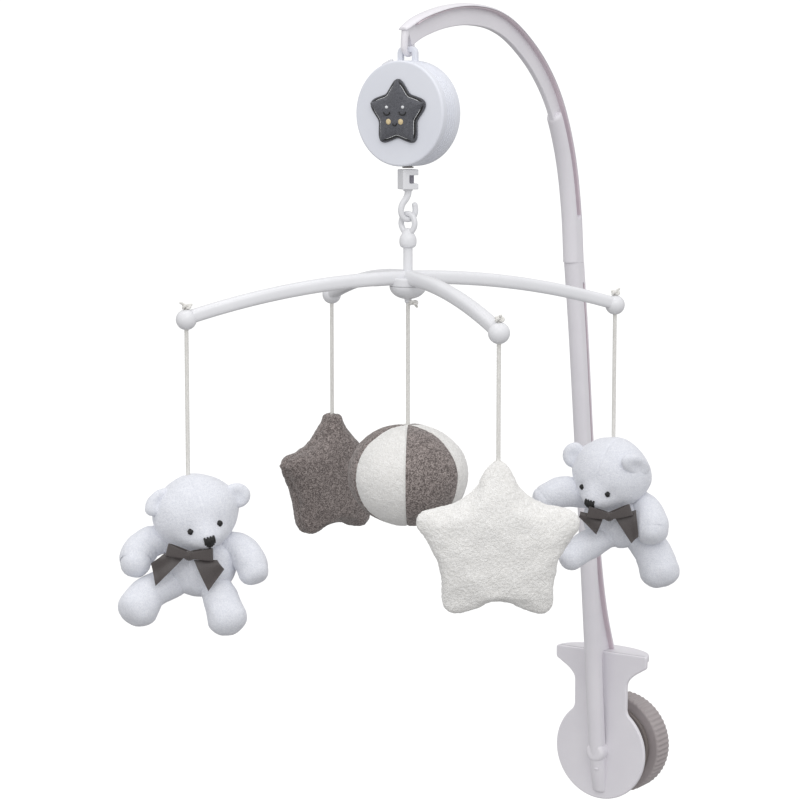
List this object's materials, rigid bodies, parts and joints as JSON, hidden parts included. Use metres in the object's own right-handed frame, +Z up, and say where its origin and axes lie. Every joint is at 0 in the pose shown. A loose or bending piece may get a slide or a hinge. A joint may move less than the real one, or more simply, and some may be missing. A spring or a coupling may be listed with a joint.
{
  "type": "crib mobile",
  "caption": "Clamp-on crib mobile: curved arm, round wind-up music box, turning crown and plush bears, stars and a ball on strings.",
  "frame": {"origin": "centre line of the clamp plate's rear face, 56 mm above the clamp screw, where the plate bears on the crib rail", "axes": "+Z up, +Y out of the crib through the rail towards the clamp knob, the arm reaches along -Y over the crib"},
  "size_m": [0.3568, 0.5523, 0.6653],
  "materials": {
    "stand_plastic": "satin moulded off-white",
    "crown_plastic": "satin moulded white",
    "taupe_rubber": "matt",
    "steel": "fine turned",
    "brass": "fine turned",
    "charcoal_felt": "stitched felt",
    "string_cotton": "twisted cotton",
    "white_plush": "short pile plush",
    "white_terry": "looped terry",
    "taupe_terry": "looped terry",
    "two_tone_terry": "looped terry gores",
    "taupe_ribbon": "satin ribbon"
  },
  "bodies": {
    "stand": {"lower_post": "stand_plastic", "upper_arm": "stand_plastic", "clamp_screw": "steel"},
    "clamp_pad": {"clamp_pad": "taupe_rubber"},
    "clamp_knob": {"clamp_knob": "stand_plastic"},
    "music_box": {"front_cover": "stand_plastic", "rear_cover": "stand_plastic", "cover_screw_a": "steel", "cover_screw_b": "steel", "cover_screw_c": "steel", "star_badge": "charcoal_felt", "movement_frame": "steel", "tone_comb": "steel", "shaft_bush": "brass"},
    "stop_switch": {"stop_switch": "stand_plastic"},
    "wind_key": {"wind_key": "crown_plastic"},
    "spring_barrel": {"spring_barrel": "brass"},
    "governor": {"governor": "brass"},
    "output_shaft": {"output_shaft": "steel", "pin_cylinder": "brass", "coupling_block": "crown_plastic"},
    "crown": {"crown_ring": "crown_plastic", "crown_hub": "crown_plastic", "hub_dome": "crown_plastic", "arm_right": "crown_plastic", "arm_back": "crown_plastic", "arm_left": "crown_plastic", "arm_front": "crown_plastic", "ball_right": "crown_plastic", "ball_back": "crown_plastic", "ball_left": "crown_plastic", "ball_front": "crown_plastic", "knot_right": "string_cotton", "knot_back": "string_cotton", "knot_left": "string_cotton", "knot_front": "string_cotton", "knot_centre": "string_cotton"},
    "string_left": {"string_left": "string_cotton"},
    "left_bear": {"left_bear_head": "white_plush", "left_bear_body": "white_plush", "left_bear_bow": "taupe_ribbon"},
    "string_right": {"string_right": "string_cotton"},
    "right_bear": {"right_bear_head": "white_plush", "right_bear_body": "white_plush", "right_bear_bow": "taupe_ribbon"},
    "string_front": {"string_front": "string_cotton"},
    "front_star": {"front_star": "white_terry"},
    "string_back": {"string_back": "string_cotton"},
    "back_star": {"back_star": "taupe_terry"},
    "string_centre": {"string_centre": "string_cotton"},
    "centre_ball": {"centre_ball": "two_tone_terry"}
  },
  "joints": [
    {"name": "knob_turn", "type": "hinge", "parent": "clamp_pad", "child": "clamp_knob", "pos_m": [0, 0.022, -0.056], "axis": [0, 1, 0], "range_deg": [-540, 720]},
    {"name": "pad_slide", "type": "slide", "parent": "stand", "child": "clamp_pad", "axis": [0, 1, 0], "range_m": [-0.0092, 0.0122]},
    {"name": "box_swing", "type": "hinge", "parent": "stand", "child": "music_box", "pos_m": [0, -0.298, 0.527], "axis": [0, 1, 0], "range_deg": [-10, 10]},
    {"name": "stop_slide", "type": "slide", "parent": "music_box", "child": "stop_switch", "axis": [0, 1, 0], "range_m": [-0.0013, 0.0013]},
    {"name": "wind_key_turn", "type": "hinge", "parent": "music_box", "child": "wind_key", "pos_m": [0.01295, -0.286, 0.4852], "axis": [0, 1, 0], "continuous": true},
    {"name": "crown_turn", "type": "hinge", "parent": "music_box", "child": "output_shaft", "pos_m": [0, -0.298, 0.4852], "axis": [0, 0, 1], "continuous": true},
    {"name": "barrel_turn", "type": "hinge", "parent": "music_box", "child": "spring_barrel", "pos_m": [0.01295, -0.298, 0.4852], "axis": [0, 0, 1], "continuous": true},
    {"name": "governor_turn", "type": "hinge", "parent": "music_box", "child": "governor", "pos_m": [-0.00367, -0.29163, 0.4852], "axis": [0, 0, 1], "continuous": true},
    {"name": "crown_swing", "type": "hinge", "parent": "output_shaft", "child": "crown", "pos_m": [0, -0.298, 0.4087], "axis": [0.5736, 0.8192, 0], "range_deg": [-6, 6]},
    {"name": "string_swing_left", "type": "hinge", "parent": "crown", "child": "string_left", "pos_m": [-0.09636, -0.43562, 0.3328], "axis": [-0.5736, -0.8192, 0], "range_deg": [-14, 14]},
    {"name": "left_bear_twist", "type": "hinge", "parent": "string_left", "child": "left_bear", "pos_m": [-0.09636, -0.43562, 0.229], "axis": [0, 0, 1], "continuous": true},
    {"name": "string_swing_right", "type": "hinge", "parent": "crown", "child": "string_right", "pos_m": [0.09636, -0.16038, 0.3328], "axis": [0.5736, 0.8192, 0], "range_deg": [-14, 14]},
    {"name": "right_bear_twist", "type": "hinge", "parent": "string_right", "child": "right_bear", "pos_m": [0.09636, -0.16038, 0.2385], "axis": [0, 0, 1], "continuous": true},
    {"name": "string_swing_front", "type": "hinge", "parent": "crown", "child": "string_front", "pos_m": [0.13762, -0.39436, 0.3328], "axis": [0.8192, -0.5736, 0], "range_deg": [-14, 14]},
    {"name": "front_star_twist", "type": "hinge", "parent": "string_front", "child": "front_star", "pos_m": [0.13762, -0.39436, 0.256], "axis": [0, 0, 1], "continuous": true},
    {"name": "string_swing_back", "type": "hinge", "parent": "crown", "child": "string_back", "pos_m": [-0.13762, -0.20164, 0.3328], "axis": [-0.8192, 0.5736, 0], "range_deg": [-14, 14]},
    {"name": "back_star_twist", "type": "hinge", "parent": "string_back", "child": "back_star", "pos_m": [-0.13762, -0.20164, 0.246], "axis": [0, 0, 1], "continuous": true},
    {"name": "string_swing_centre", "type": "hinge", "parent": "crown", "child": "string_centre", "pos_m": [0, -0.298, 0.347], "axis": [1, 0, 0], "range_deg": [-10, 10]},
    {"name": "centre_ball_twist", "type": "hinge", "parent": "string_centre", "child": "centre_ball", "pos_m": [0, -0.298, 0.2581], "axis": [0, 0, 1], "continuous": true}
  ],
  "couplings": [
    {"joint": "pad_slide", "follows": "knob_turn", "m_per_rad": 0.00095493},
    {"joint": "barrel_turn", "follows": "crown_turn", "ratio": -0.68182},
    {"joint": "governor_turn", "follows": "crown_turn", "ratio": -2.5}
  ]
}
